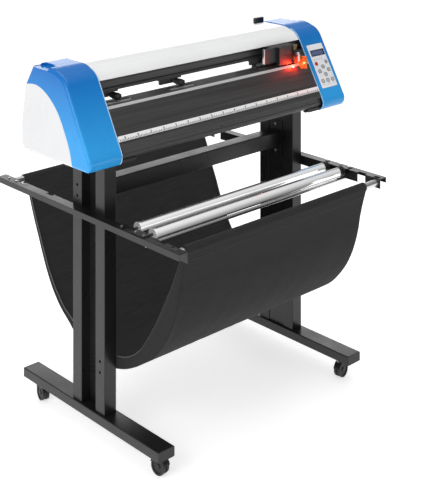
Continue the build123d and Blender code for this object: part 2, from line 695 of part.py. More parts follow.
with BuildPart() as housing:
    with BuildSketch(Plane.YZ.offset(COVER_IN)):
        add(OUTER)
    extrude(amount=COVER_OUT - COVER_IN)
    fillet(housing.edges().filter_by_position(Axis.X, COVER_OUT - 0.1, COVER_OUT + 0.1), EDGE_R)
    # stepped shoulder and finger slot on top
    with Locations((COVER_OUT - 16, 74, 1138)):
        Box(32, 84, 18, mode=Mode.SUBTRACT)
    with Locations((COVER_OUT - 37, 77, 1136)):
        Box(10, 60, 12, mode=Mode.SUBTRACT)
    add(cavity.part, mode=Mode.SUBTRACT)
    # relief over the ends of the tray
    with Locations(((COVER_IN + PLATE_OUT) / 2 + 0.5, 8, BODY_BOTTOM)):
        Box(PLATE_OUT - COVER_IN + 2, 321, 24, mode=Mode.SUBTRACT)

# white side panel behind the arc, blue cover in front of it, 0.4 mm parting gap
with BuildPart() as panel:
    add(housing.part)
    with BuildSketch(Plane.YZ):
        add(WHITE)
    extrude(amount=COVER_OUT + 10, mode=Mode.INTERSECT)

with BuildPart() as cover:
    add(housing.part)
    with BuildSketch(Plane.YZ):
        add(WHITE)
    extrude(amount=COVER_OUT + 10, mode=Mode.SUBTRACT)

with BuildPart() as right_panel:
    add(panel.part)
    # window for the power rocker, with an ear on each side for its pin
    with Locations((COVER_OUT, 110, 905)):
        Box(12, 13.4, 20.4, mode=Mode.SUBTRACT)
    with Locations((ROCKER_X - 1, 101.5, 905), (ROCKER_X - 1, 118.5, 905)):
        Box(6, 3, 8)
    with Locations(Location((ROCKER_X, 110, 905), (90, 0, 0))):
        Cylinder(1 + RUN_GAP, 20, mode=Mode.SUBTRACT)

save(cover.part, "right_cover")
save(right_panel.part, "right_panel")
save(mirror(cover.part, about=Plane.YZ), "left_cover")
save(mirror(panel.part, about=Plane.YZ), "left_panel")

# keypad film on the slanted front of the right cover, display area included
FACE_TOP = Vector(502.5, -62, 1100)
FACE = Plane(origin=FACE_TOP, x_dir=(1, 0, 0), z_dir=(0, -195, 110.5))
with BuildPart() as control_panel:
    with BuildSketch(FACE):
        with Locations((0, -110)):
            RectangleRounded(79, 158, 3)
    extrude(amount=0.8)
save(control_panel.part, "control_panel")

with BuildPart() as machine_feet:
    for foot_x in (-428, 428):
        for foot_y in (-108, 128):
            with Locations((foot_x, foot_y, BODY_BOTTOM - 7)):
                Cylinder(9, 14)
    edges_low = machine_feet.edges().group_by(Axis.Z)[0]
    chamfer(edges_low, 2)
save(machine_feet.part, "machine_feet")

# ---- cutter: media drive -------------------------------------------------------------------
with BuildPart() as grit_shaft:
    with Locations(Location((-7, SHAFT_Y, SHAFT_Z), (0, 90, 0))):
        Cylinder(SHAFT_R, 2 * PLATE_OUT + 30)
    for x in PINCH_X:
        with Locations(Location((x, SHAFT_Y, SHAFT_Z), (0, 90, 0))):
            Cylinder(DRUM_R, DRUM_LEN)
save(grit_shaft.part, "grit_shaft")

with BuildPart() as feed_motor:
    with Locations((-PLATE_OUT - 10 - 30, SHAFT_Y, SHAFT_Z)):
        Box(56, 44, 44)
    with Locations(Location((-PLATE_OUT - 12, SHAFT_Y, SHAFT_Z), (0, 90, 0))):
        Cylinder(SHAFT_R + RUN_GAP, 24, mode=Mode.SUBTRACT)
    with Locations((-PLATE_OUT - 6, SHAFT_Y - 18, SHAFT_Z), (-PLATE_OUT - 6, SHAFT_Y + 18, SHAFT_Z)):
        Box(12, 6, 40)
save(feed_motor.part, "feed_motor")


# ---- cutter: pinch units -------------------------------------------------------------------
def make_pinch_bracket(x):
    """Hanger under the beam: a tongue in the beam's slot and two ears for the arm pivot."""
    with BuildPart() as bracket:
        with Locations((x - 29, -18, BEAM_BOTTOM - 3.25)):
            Box(90, 62, 5.5)
        with Locations((x - 29, -20, BEAM_BOTTOM + 2.7)):
            Box(86, 7, 6.6)
        with Locations((x - 29, -20, BEAM_BOTTOM + 7)):
            Box(86, 15, 3)
        for ear in (-14, 14):
            with Locations((x + ear, PIVOT_Y, PIVOT_Z + 2)):
                Box(4, 14, 18)
        with Locations(Location((x, PIVOT_Y, PIVOT_Z), (0, 90, 0))):
            Cylinder(2.5, 30)
        with Locations((x - 46, -44, BEAM_BOTTOM - 12)):
            Box(52, 8, 12)
    return bracket.part


def make_pinch_arm(x):
    """See-saw arm: wheel fork in front, pivot bore, tail under the lift shaft."""
    axle_z = MEDIA_Z + 1 + PINCH_LIFT + PINCH_WHEEL_R
    with BuildPart() as arm:
        with BuildSketch(Plane.YZ.offset(x - 10)):
            add(polygon((-30, PIVOT_Z - 4), (0, PIVOT_Z - 4), (LIFT_Y + 9, TAIL_TOP - 7),
                        (LIFT_Y + 9, TAIL_TOP), (LIFT_Y - 7, TAIL_TOP), (LIFT_Y - 9, TAIL_TOP - 4),
                        (0, PIVOT_Z + 3), (-30, PIVOT_Z + 3)))
        extrude(amount=20)
        for ear in (x - 11.5, x + 8.5):
            with BuildSketch(Plane.YZ.offset(ear)):
                add(polygon((-72, axle_z - 4), (-60, axle_z - 5), (-28, PIVOT_Z - 4), (-28, PIVOT_Z + 3),
                            (-58, axle_z + 10), (-72, axle_z + 8)))
            extrude(amount=3)
        with Locations(Location((x, PIVOT_Y, PIVOT_Z), (0, 90, 0))):
            Cylinder(6, 20)
            Cylinder(2.5 + RUN_GAP, 24, mode=Mode.SUBTRACT)
        with Locations(Location((x, SHAFT_Y, axle_z), (0, 90, 0))):
            Cylinder(2, 23)
    return arm.part


def make_pinch_wheel(x):
    """Rubber-tyred pressure wheel."""
    axle_z = MEDIA_Z + 1 + PINCH_LIFT + PINCH_WHEEL_R
    with BuildPart() as wheel:
        with Locations(Location((x, SHAFT_Y, axle_z), (0, 90, 0))):
            Cylinder(PINCH_WHEEL_R, 14)
            Cylinder(2 + RUN_GAP, 14, mode=Mode.SUBTRACT)
        chamfer(wheel.edges().filter_by(GeomType.CIRCLE).sort_by(SortBy.RADIUS)[-2:], 1)
    return wheel.part


for number, x in enumerate(PINCH_X, start=1):
    save(make_pinch_bracket(x), f"pinch_bracket_{number}")
    save(make_pinch_arm(x), f"pinch_arm_{number}")
    save(make_pinch_wheel(x), f"pinch_wheel_{number}")

# lift shaft, with a lobe that holds the arm tails down, and the lever that turns it
with BuildPart() as pinch_lever:
    with Locations(Location((0, LIFT_Y, LIFT_Z), (0, 90, 0))):
        Cylinder(3.2, 2 * PLATE_OUT + 4)
    with Locations((0, LIFT_Y, LIFT_Z - LOBE_REACH / 2)):
        Box(2 * PLATE_IN - 14, 2, LOBE_REACH)
    for side in (-1, 1):
        with Locations(Location((side * (PLATE_OUT - 4), LIFT_Y, LIFT_Z), (0, 90, 0))):
            Cylinder(LIFT_R, 12)
    with BuildSketch(Plane.YZ.offset(LEVER_X - 4)):
        add(polygon((LIFT_Y - 6, LIFT_Z - 5), (LIFT_Y + 5, LIFT_Z - 7), (130, 1066), (136, 1072),
                    (136, 1132), (128, 1132), (128, 1076), (LIFT_Y, LIFT_Z + 7)))
    extrude(amount=8)
    with BuildSketch(Plane.XY.offset(1129)):
        with Locations((KNOB_X, 132)):
            RectangleRounded(46, 15, 6)
    extrude(amount=20)
    fillet(pinch_lever.edges().group_by(Axis.Z)[-1], 3)
save(pinch_lever.part, "pinch_lever")

# ---- cutter: carriage ----------------------------------------------------------------------
body_middle = (CARRIAGE_BODY_X0 + CARRIAGE_X1) / 2
body_width = CARRIAGE_X1 - CARRIAGE_BODY_X0
with BuildPart() as carriage:
    # front plate
    with Locations(((CARRIAGE_X0 + CARRIAGE_X1) / 2, -88, 1069)):
        Box(CARRIAGE_X1 - CARRIAGE_X0, 8, 50)
    # body behind it
    with Locations((body_middle, -70, 1075)):
        Box(body_width, 30, 38)
    # guide tongue in the beam groove
    with Locations((body_middle, BEAM_FRONT + 0.5, GROOVE_Z)):
        Box(body_width - 20, 9, 7)
    # front box over the tool drive
    with Locations((332, -97, 1062)):
        Box(64, 12, 62)
    # tool clamp block
    with Locations((BLADE_X, BLADE_Y + 1, 1066)):
        Box(20, 26, 20)
    with Locations((BLADE_X, BLADE_Y, 1066)):
        Cylinder(7 + RUN_GAP, 20, mode=Mode.SUBTRACT)
save(carriage.part, "carriage")

# bright end strip of the front plate
with BuildPart() as carriage_cheek:
    with Locations((CARRIAGE_X0 - 1.5, -88, 1069)):
        Box(3, 8, 50)
save(carriage_cheek.part, "carriage_cheek")

with BuildPart() as blade_holder:
    with Locations((BLADE_X, BLADE_Y, 1066)):
        Cylinder(7, 44)
    with Locations((BLADE_X, BLADE_Y, 1091)):
        Cylinder(9, 6)
    with Locations((BLADE_X, BLADE_Y, 1041)):
        Cone(2.5, 6, 6)
    with Locations((BLADE_X, BLADE_Y, 1034.5)):
        Cylinder(1, 7)
save(blade_holder.part, "blade_holder")

# amber plate that shields the blade, notched over the platen
with BuildPart() as blade_guard:
    with BuildSketch(Plane.YZ.offset(BLADE_X + 10)):
        add(polygon((-93, 1030), (-112, 1030), (-121, 1016), (-150, 1016), (-150, 1058), (-93, 1058)))
    extrude(amount=5)
save(blade_guard.part, "blade_guard")

with BuildPart() as laser_module:
    with Locations((BLADE_X, -124, 1052)):
        Cylinder(5, 24)
    with Locations((BLADE_X, -119, 1066)):
        Box(10, 5.9, 8)
save(laser_module.part, "laser_module")

with BuildPart() as carriage_motor:
    with Locations((PLATE_OUT + 26, 20, 1072)):
        Box(42, 42, 42)
    with Locations((PLATE_OUT + 2.5, 20, 1072)):
        Box(5, 30, 30)
save(carriage_motor.part, "carriage_motor")

# ---- cutter: electrics ---------------------------------------------------------------------
with BuildPart() as circuit_board:
    with Locations((PLATE_OUT + 40, 70, 930)):
        Box(70, 90, 1.6)
    with Locations((PLATE_OUT + 40, 70, 900)):
        Box(60, 100, 34)
    for board_x in (-20, 20):
        with Locations((PLATE_OUT + 40 + board_x, 70, 936)):
            Box(18, 24, 11)
save(circuit_board.part, "circuit_board")

with BuildPart() as power_switch:
    with Locations((COVER_OUT - 3.5, 110, 905)):
        Box(7, 13, 18.4)
    with Locations(Location((ROCKER_X, 110, 905), (90, 0, 0))):
        Cylinder(1, 19.6)
save(power_switch.part, "power_switch")
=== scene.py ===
import json
import math

import bpy
import numpy as np
from mathutils import Matrix, Vector


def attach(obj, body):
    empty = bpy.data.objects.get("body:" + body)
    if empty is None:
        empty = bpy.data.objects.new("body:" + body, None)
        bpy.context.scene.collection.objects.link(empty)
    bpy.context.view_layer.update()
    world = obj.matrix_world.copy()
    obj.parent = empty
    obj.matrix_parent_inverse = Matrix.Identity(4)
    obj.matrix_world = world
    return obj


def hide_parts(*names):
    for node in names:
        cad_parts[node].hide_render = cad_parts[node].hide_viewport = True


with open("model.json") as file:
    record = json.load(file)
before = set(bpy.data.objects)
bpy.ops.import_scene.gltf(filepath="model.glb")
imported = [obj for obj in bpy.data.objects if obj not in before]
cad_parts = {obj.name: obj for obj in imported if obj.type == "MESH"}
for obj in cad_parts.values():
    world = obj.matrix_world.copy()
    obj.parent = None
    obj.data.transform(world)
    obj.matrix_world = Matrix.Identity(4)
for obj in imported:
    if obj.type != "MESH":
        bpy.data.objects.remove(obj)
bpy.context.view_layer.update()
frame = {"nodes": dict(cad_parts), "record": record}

MM = 0.001

# ---- node helpers --------------------------------------------------------------------------


class Look:
    """A material under construction: its node tree, its shader and the row-frame coordinate."""

    def __init__(self, name, base, rough, metallic=0.0):
        self.material = bpy.data.materials.new(name)
        self.material.use_nodes = True
        self.tree = self.material.node_tree
        self.shader = self.tree.nodes["Principled BSDF"]
        self.coord = self.tree.nodes.new("ShaderNodeTexCoord").outputs["Object"]
        self.put("Base Color", (*base, 1))
        self.put("Roughness", rough)
        self.put("Metallic", metallic)
        self.material.diffuse_color = (*base, 1)

    def put(self, socket, value):
        """Set a shader input to a value, or link it to another node's output."""
        target = self.shader.inputs[socket]
        if isinstance(value, bpy.types.NodeSocket):
            self.tree.links.new(value, target)
        else:
            target.default_value = value

    def node(self, kind, **inputs):
        """New node; inputs are given by socket name with underscores for spaces."""
        made = self.tree.nodes.new(kind)
        for key, value in inputs.items():
            self.feed(made, key.replace("_", " "), value)
        return made

    def feed(self, node, socket, value):
        target = node.inputs[socket]
        if isinstance(value, bpy.types.NodeSocket):
            self.tree.links.new(value, target)
        else:
            target.default_value = value

    def stretched(self, x, y, z):
        """The row-frame coordinate scaled along each axis."""
        mapping = self.node("ShaderNodeMapping", Vector=self.coord, Scale=(x, y, z))
        return mapping.outputs["Vector"]

    def noise(self, scale, detail=3.0, vector=None):
        made = self.node("ShaderNodeTexNoise", Vector=vector or self.coord, Scale=scale, Detail=detail)
        return made.outputs["Fac"]

    def span(self, value, low, high, to_low, to_high):
        """Remap a value from one range to another, clamped."""
        made = self.node("ShaderNodeMapRange", Value=value)
        limits = {"From Min": low, "From Max": high, "To Min": to_low, "To Max": to_high}
        for key, number in limits.items():
            self.feed(made, key, number)
        return made.outputs["Result"]

    def math(self, operation, a, b=0.0, c=0.0):
        made = self.tree.nodes.new("ShaderNodeMath")
        made.operation = operation
        for index, value in enumerate((a, b, c)):
            if isinstance(value, bpy.types.NodeSocket):
                self.tree.links.new(value, made.inputs[index])
            else:
                made.inputs[index].default_value = value
        return made.outputs[0]

    def mix(self, factor, a, b):
        """Mix of two colours."""
        made = self.tree.nodes.new("ShaderNodeMix")
        made.data_type = "RGBA"
        for index, value in ((0, factor), (6, a), (7, b)):
            if isinstance(value, bpy.types.NodeSocket):
                self.tree.links.new(value, made.inputs[index])
            else:
                made.inputs[index].default_value = value if index == 0 else (*value, 1)
        return made.outputs[2]

    def axis(self, which):
        """One component, 0 to 2, of the row-frame coordinate."""
        return self.node("ShaderNodeSeparateXYZ", Vector=self.coord).outputs[which]

    def bump(self, height, strength, distance, base=None):
        """Relief from a height value, in metres; the shader takes it as its normal."""
        made = self.node("ShaderNodeBump", Height=height, Strength=strength, Distance=distance)
        if base is not None:
            self.tree.links.new(base, made.inputs["Normal"])
        self.put("Normal", made.outputs["Normal"])
        return made.outputs["Normal"]

    def edges(self, radius):
        """Rounded edges, in the shading only."""
        return self.node("ShaderNodeBevel", Radius=radius).outputs["Normal"]


def powder(name, base, rough, grain=900.0):
    """Powder-coated or painted metal: fine orange peel, uneven sheen, faint dust."""
    look = Look(name, base, rough)
    peel = look.noise(grain, 2.0)
    look.bump(peel, 0.25, 0.00012, look.edges(0.0012))
    cloud = look.noise(9.0, 5.0)
    look.put("Roughness", look.span(cloud, 0.3, 0.7, rough - 0.05, rough + 0.07))
    dust = look.span(look.noise(60.0, 6.0), 0.5, 0.8, 0.0, 0.12)
    lighter = tuple(min(1.0, c * 1.6 + 0.01) for c in base)
    look.put("Base Color", look.mix(dust, base, lighter))
    look.put("Specular IOR Level", 0.5)
    return look


def plastic(name, base, rough, coat=0.0, grain=500.0, relief=0.00006):
    """Moulded plastic: very fine texture, uneven gloss and a slight shift of colour."""
    look = Look(name, base, rough)
    look.bump(look.noise(grain, 2.0), 0.2, relief, look.edges(0.0015))
    cloud = look.noise(7.0, 4.0)
    look.put("Roughness", look.span(cloud, 0.3, 0.7, max(0.02, rough - 0.03), rough + 0.04))
    shade = tuple(c * 0.97 for c in base)
    look.put("Base Color", look.mix(look.span(cloud, 0.35, 0.65, 0.0, 1.0), base, shade))
    look.put("Coat Weight", coat)
    look.put("Coat Roughness", 0.06)
    return look


def drawn_metal(name, base, rough, direction="x", strength=0.25):
    """Turned or drawn metal: fine lines along one axis, with a varying sheen."""
    look = Look(name, base, rough, 1.0)
    scales = {"x": (3, 900, 900), "y": (900, 3, 900), "z": (900, 900, 3)}[direction]
    lines = look.noise(1.0, 3.0, look.stretched(*scales))
    look.bump(lines, strength, 0.00003, look.edges(0.0006))
    look.put("Roughness", look.span(lines, 0.3, 0.7, rough * 0.7, rough * 1.4))
    look.put("Anisotropic", 0.4)
    return look


# ---- finishes ------------------------------------------------------------------------------
THREADS = 3900.0                   # phase of the weave per metre of cloth
CLOTH_PAINTED_GLOW = 0.013                 # strength of a painted glow on the cloth, which lifts its shade inside the basket
CHROME_TINT = (0.88, 0.88, 0.9)
PLUG_TINT = (0.01, 0.01, 0.011)


def woven(name, base):
    """Coarse woven cloth: over-and-under threads from the sewn UV map, soft creases, fuzz, sheen and a
    faint painted glow that lifts its shade.
    """
    look = Look(name, base, 0.85)
    where = look.tree.nodes.new("ShaderNodeUVMap")
    where.uv_map = "weave"
    split = look.node("ShaderNodeSeparateXYZ", Vector=where.outputs["UV"])
    warp = look.math("SINE", look.math("MULTIPLY", split.outputs[0], THREADS))
    weft = look.math("SINE", look.math("MULTIPLY", split.outputs[1], THREADS))
    weave = look.math("MULTIPLY", warp, weft)
    slubs = look.noise(1.0, 3.0, look.stretched(14, 260, 260))
    creases = look.noise(1.0, 3.0, look.stretched(2.2, 7, 7))
    fine = look.bump(look.span(weave, -1, 1, 0, 1), 0.5, 0.00025)
    look.bump(creases, 0.35, 0.012, fine)
    tone = look.math("ADD", look.span(weave, -1, 1, 0.0, 0.5), look.span(slubs, 0.3, 0.7, 0.0, 0.5))
    darker = tuple(c * 0.72 for c in base)
    look.put("Base Color", look.mix(tone, darker, tuple(c * 1.25 for c in base)))
    look.put("Roughness", look.span(slubs, 0.3, 0.7, 0.75, 0.95))
    look.put("Sheen Weight", 0.04)
    look.put("Specular IOR Level", 0.1)
    # painted light: a faint emission, following the weave, that lifts the cloth out of its shade
    look.put("Emission Color", (1, 1, 1, 1))
    look.put("Emission Strength", look.math("MULTIPLY", look.math("ADD", tone, 0.6), CLOTH_PAINTED_GLOW))
    return look


def plugged_chrome(name, plug_from):
    """Polished tube with a painted highlight along its middle and painted dark reflections towards its
    outline, and a black plastic plug at its right-hand end.
    """
    look = drawn_metal(name, CHROME_TINT, 0.05, "x", 0.12)
    plug = look.math("GREATER_THAN", look.axis(0), plug_from)
    facing = look.node("ShaderNodeLayerWeight", Blend=0.5).outputs["Facing"]
    # painted highlight: an emission band along the middle of the tube, strongest where it faces the
    # camera, none on the plug
    painted_highlight_band = look.span(facing, 0.2, 0.6, 0.5, 0.0)
    look.put("Emission Color", (1, 1, 1, 1))
    look.put("Emission Strength", look.math("MULTIPLY", painted_highlight_band, look.math("SUBTRACT", 1.0, plug)))
    smear = look.noise(1.0, 4.0, look.stretched(6, 90, 90))
    sheen = look.span(smear, 0.35, 0.75, 0.045, 0.11)
    look.put("Metallic", look.math("SUBTRACT", 1.0, plug))
    # painted reflection: the chrome darkens towards its outline as seen from the camera; together with
    # the real black plug this makes the dark mask
    rim = look.span(facing, 0.5, 0.72, 0.0, 1.0)
    dark = look.math("MAXIMUM", plug, look.math("MULTIPLY", rim, 0.85))
    look.put("Base Color", look.mix(dark, CHROME_TINT, PLUG_TINT))
    look.put("Roughness", look.math("ADD", sheen, look.math("MULTIPLY", plug, 0.35)))
    return look


def clear_amber(name):
    """Translucent moulded plate with flow marks and a slightly deeper colour at the edges."""
    look = Look(name, (0.95, 0.3, 0.03), 0.12)
    flow = look.noise(1.0, 3.0, look.stretched(30, 140, 30))
    facing = look.node("ShaderNodeLayerWeight", Blend=0.35).outputs["Facing"]
    look.put("Base Color", look.mix(facing, (0.98, 0.36, 0.05), (0.75, 0.1, 0.01)))
    look.put("Roughness", look.span(flow, 0.3, 0.7, 0.06, 0.2))
    look.put("Transmission Weight", 0.55)
    look.put("IOR", 1.49)
    look.bump(flow, 0.15, 0.0002, look.edges(0.0006))
    return look


def streaked(name, base, lighter, rough):
    """Drawn and painted extrusion: powder coat with fine streaks along its length."""
    look = powder(name, base, rough, 1500.0)
    streaks = look.noise(1.0, 4.0, look.stretched(1.6, 130, 130))
    look.put("Base Color", look.mix(look.span(streaks, 0.35, 0.7, 0.0, 1.0), base, lighter))
    return look


def graded_blue(name):
    """Gloss blue moulding with painted light that makes it lighter towards its foot, and only a soft
    reflection.
    """
    look = plastic(name, (0.0, 0.19, 0.6), 0.25, 0.22)
    # painted light: the colour lightens towards the foot of the cover, broken by random patches
    low = look.span(look.axis(2), 0.93, 1.13, 1.0, 0.0)
    cloud = look.span(look.noise(7.0, 4.0), 0.35, 0.65, 0.0, 0.08)
    shade = look.math("MAXIMUM", look.math("SUBTRACT", low, cloud), 0.0)
    look.put("Base Color", look.mix(shade, (0.0, 0.16, 0.54), (0.03, 0.37, 0.84)))
    look.put("Specular IOR Level", 0.22)
    return look


stand_black = powder("stand_black", (0.011, 0.011, 0.0115), 0.3)
body_black = streaked("body_black", (0.034, 0.034, 0.0345), (0.06, 0.06, 0.061), 0.42)
beam_black = streaked("beam_black", (0.03, 0.03, 0.0305), (0.06, 0.06, 0.061), 0.38)
bracket_black = powder("bracket_black", (0.009, 0.009, 0.01), 0.3, 700.0)
matt_black = plastic("matt_black", (0.01, 0.01, 0.011), 0.45)
gloss_blue = graded_blue("gloss_blue")
gloss_white = plastic("gloss_white", (0.92, 0.925, 0.93), 0.2, 0.3)
panel_white = plastic("panel_white", (0.76, 0.765, 0.775), 0.25, 0.1)
ruler_white = plastic("ruler_white", (0.95, 0.95, 0.95), 0.35)
strip_grey = plastic("strip_grey", (0.5, 0.5, 0.5), 0.5)
film_grey = plastic("film_grey", (0.9, 0.92, 0.95), 0.3, 0.2)
zinc = drawn_metal("zinc", (0.66, 0.66, 0.67), 0.24)
aluminium = drawn_metal("aluminium", (0.78, 0.78, 0.79), 0.3, "z")
brass = drawn_metal("brass", (0.16, 0.12, 0.06), 0.4, "z")
board_green = plastic("board_green", (0.02, 0.2, 0.07), 0.4)
caster_black = plastic("caster_black", (0.01, 0.01, 0.011), 0.34)
wheel_rubber = plastic("wheel_rubber", (0.014, 0.014, 0.015), 0.5, 0.0, 260.0, 0.00015)
pinch_rubber = plastic("pinch_rubber", (0.02, 0.02, 0.02), 0.6)
fabric = woven("fabric", (0.0115, 0.0115, 0.012))
chrome = plugged_chrome("chrome", 0.395)
grit = drawn_metal("grit", (0.5, 0.5, 0.52), 0.4, "x", 0.5)
amber = clear_amber("amber")

piping = plastic("piping", (0.16, 0.16, 0.165), 0.7)
thread = plastic("thread", (0.05, 0.05, 0.053), 0.6)
screen_black = plastic("screen_black", (0.012, 0.015, 0.03), 0.25)
screen_blue = plastic("screen_blue", (0.13, 0.17, 0.36), 0.12, 0.8)
screen_dark = plastic("screen_dark", (0.02, 0.03, 0.09), 0.3)
lamp_grey = plastic("lamp_grey", (0.45, 0.4, 0.4), 0.2)
key_red = plastic("key_red", (0.55, 0.01, 0.012), 0.3)
key_grey = plastic("key_grey", (0.38, 0.32, 0.31), 0.35)
key_dark = plastic("key_dark", (0.02, 0.02, 0.022), 0.35)
key_light = plastic("key_light", (0.75, 0.76, 0.77), 0.35)
vent_grey = plastic("vent_grey", (0.09, 0.09, 0.092), 0.5)
print_black = plastic("print_black", (0.015, 0.015, 0.015), 0.6)
# painted highlight: pale blue for the bead along each end cover's inner front edge
painted_edge_highlight = plastic("painted_edge_highlight", (0.55, 0.74, 0.92), 0.25, 0.3)
laser_glow = plastic("laser_glow", (1.0, 0.6, 0.55), 0.5)
laser_glow.put("Emission Color", (1.0, 0.55, 0.5, 1))
laser_glow.put("Emission Strength", 6.0)

FINISH = {
    "black_powder_coat": stand_black,
    "black_plastic": matt_black,
    "black_bracket": bracket_black,
    "rod_steel": zinc,
    "charcoal_fabric": fabric,
    "roller_chrome": chrome,
    "caster_plastic": caster_black,
    "caster_rubber": wheel_rubber,
    "pinch_rubber": pinch_rubber,
    "ruler_white": ruler_white,
    "strip_grey": strip_grey,
    "white_plastic": gloss_white,
    "blue_plastic": gloss_blue,
    "keypad_film": film_grey,
    "cheek_aluminium": aluminium,
    "blade_brass": brass,
    "amber_plate": amber,
    "board_green": board_green,
    "black_extrusion": beam_black,
}
OWN_FINISH = {
    "grit_shaft": grit,
    "front_apron": body_black,
    "base_tray": body_black,
    "rear_panel": body_black,
    "left_panel": panel_white,
    "right_panel": panel_white,
}
slots = {row["node"]: row["material_slot"] for row in frame["record"]["subparts"]}
for node, thing in frame["nodes"].items():
    thing.data.materials.clear()
    finish = OWN_FINISH.get(node, FINISH[slots[node]])
    thing.data.materials.append(finish.material)

# ---- piece helpers -------------------------------------------------------------------------


def piece(name, vertices, faces, look, body="machine", smooth=None):
    """Mesh object that rides on a CAD body; smooth is the angle, in degrees, kept sharp."""
    mesh = bpy.data.meshes.new(name)
    mesh.from_pydata(vertices, [], faces)
    mesh.validate()
    made = bpy.data.objects.new(name, mesh)
    bpy.context.scene.collection.objects.link(made)
    if smooth is not None:
        for face in mesh.polygons:
            face.use_smooth = True
        mesh.set_sharp_from_angle(angle=math.radians(smooth))
    mesh.materials.append(look.material)
    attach(made, body)
    return made


class Shapes:
    """Collects several closed solids into one mesh."""

    def __init__(self):
        self.vertices, self.faces = [], []

    def prism(self, outline, place, low, high, hole=None):
        """Prism from a 2-D outline; place(a, b, h) gives the point.

        A hole has as many corners as the outline.
        """
        start, count = len(self.vertices), len(outline)
        rings = [outline] if hole is None else [outline, hole]
        for ring in rings:
            for h in (low, high):
                self.vertices += [tuple(place(a, b, h)) for a, b in ring]
        for i in range(count):
            j = (i + 1) % count
            lower, upper = start, start + count
            self.faces.append((lower + i, lower + j, upper + j, upper + i))
            if hole is not None:
                inner_low, inner_high = start + 2 * count, start + 3 * count
                self.faces.append((inner_low + j, inner_low + i, inner_high + i, inner_high + j))
                self.faces.append((upper + i, upper + j, inner_high + j, inner_high + i))
                self.faces.append((lower + j, lower + i, inner_low + i, inner_low + j))
        if hole is None:
            self.faces.append(tuple(start + i for i in reversed(range(count))))
            self.faces.append(tuple(start + count + i for i in range(count)))

    def make(self, name, look, body="machine", smooth=None):
        return piece(name, self.vertices, self.faces, look, body, smooth)


def circle(a, b, radius, count=24):
    turns = [2 * math.pi * i / count for i in range(count)]
    return [(a + radius * math.cos(turn), b + radius * math.sin(turn)) for turn in turns]


def rounded(a, b, width, height, radius, per=5):
    """Rounded rectangle centred on (a, b)."""
    points = []
    for cx, cy, turn in ((1, 1, 0), (-1, 1, 90), (-1, -1, 180), (1, -1, 270)):
        for i in range(per):
            angle = math.radians(turn + 90 * i / (per - 1))
            points.append((a + cx * (width / 2 - radius) + radius * math.cos(angle),
                           b + cy * (height / 2 - radius) + radius * math.sin(angle)))
    return points


# ---- catch basket --------------------------------------------------------------------------
# outside of the sheet and hem of its end flaps, (Y, Z) in millimetres, front to rear
HANG = [(-429.5, 677), (-423, 653), (-412, 615), (-402, 575), (-394, 533), (-382, 490), (-365, 446),
        (-340, 400), (-306, 356), (-268, 318), (-218, 284), (-165, 252), (-108, 226), (-50, 211),
        (10, 207), (68, 218), (115, 242), (160, 279), (210, 317), (251, 362), (283, 412), (308, 461),
        (332, 513), (357, 566), (380, 622), (394, 652), (403, 677)]
RIM = [(-427.5, 677), (-419, 661), (-395, 630), (-365, 567), (-306, 460), (-256, 385),
       (-206, 323), (-154, 283), (-100, 260), (-40, 248), (20, 246), (76, 256), (124, 278), (162, 301),
       (202, 330), (242, 373), (274, 420), (302, 473), (326, 525), (352, 578), (374, 630), (390, 662),
       (397, 677)]
# where the sheet ends in plan: (Y, X) in millimetres
LEFT_END = [(-440, -417), (-85, -389), (85, -389), (200, -393), (440, -395)]
RIGHT_END = [(-440, 370), (-250, 382), (-85, 388.5), (85, 389), (440, 409)]


FOLD_RADIUS = 3.5 * MM
CLOTH = 1.8 * MM
STANDOFF = 1.6 * MM                # of the cloth's middle from the CAD outline
SEAM_LENGTH = 36 * MM              # next to each sleeve, where the sheet lies flatter
SEAM_DROP = 0.7 * MM
SLEEVE_RADIUS = 13.4 * MM
ROD_Y, ROD_Z = 0.415, 0.677


def sheet_end(points, y, inward=0.0):
    """X of one end of the sheet at a given Y, in metres, drawn in by a distance."""
    return float(np.interp(y / MM, [p[0] for p in points], [p[1] for p in points])) * MM + inward


def hanging(points, count):
    """Smooth curve sampled evenly along its length, in metres, with the length at each sample."""
    ends = [np.array((y * MM, z * MM)) for y, z in points]
    padded = [ends[0], *ends, ends[-1]]
    curve = []
    for i in range(1, len(padded) - 2):
        p0, p1, p2, p3 = padded[i - 1:i + 3]
        for t in np.linspace(0, 1, 24, endpoint=False):
            curve.append(0.5 * (2 * p1 + (p2 - p0) * t + (2 * p0 - 5 * p1 + 4 * p2 - p3) * t * t
                                + (3 * p1 - p0 - 3 * p2 + p3) * t ** 3))
    curve.append(ends[-1])
    curve = np.array(curve)
    run = np.concatenate([[0], np.cumsum(np.linalg.norm(np.diff(curve, axis=0), axis=1))])
    even = np.linspace(0, run[-1], count)
    return np.stack([np.interp(even, run, curve[:, k]) for k in (0, 1)], 1), even


def opposite(outer, rim):
    """For each point of the sheet, the nearest point of the flap hem, always moving forward."""
    gap = np.linalg.norm(outer[:, None, :] - rim[None, :, :], axis=2)
    return rim[np.maximum.accumulate(np.argmin(gap, axis=1))]


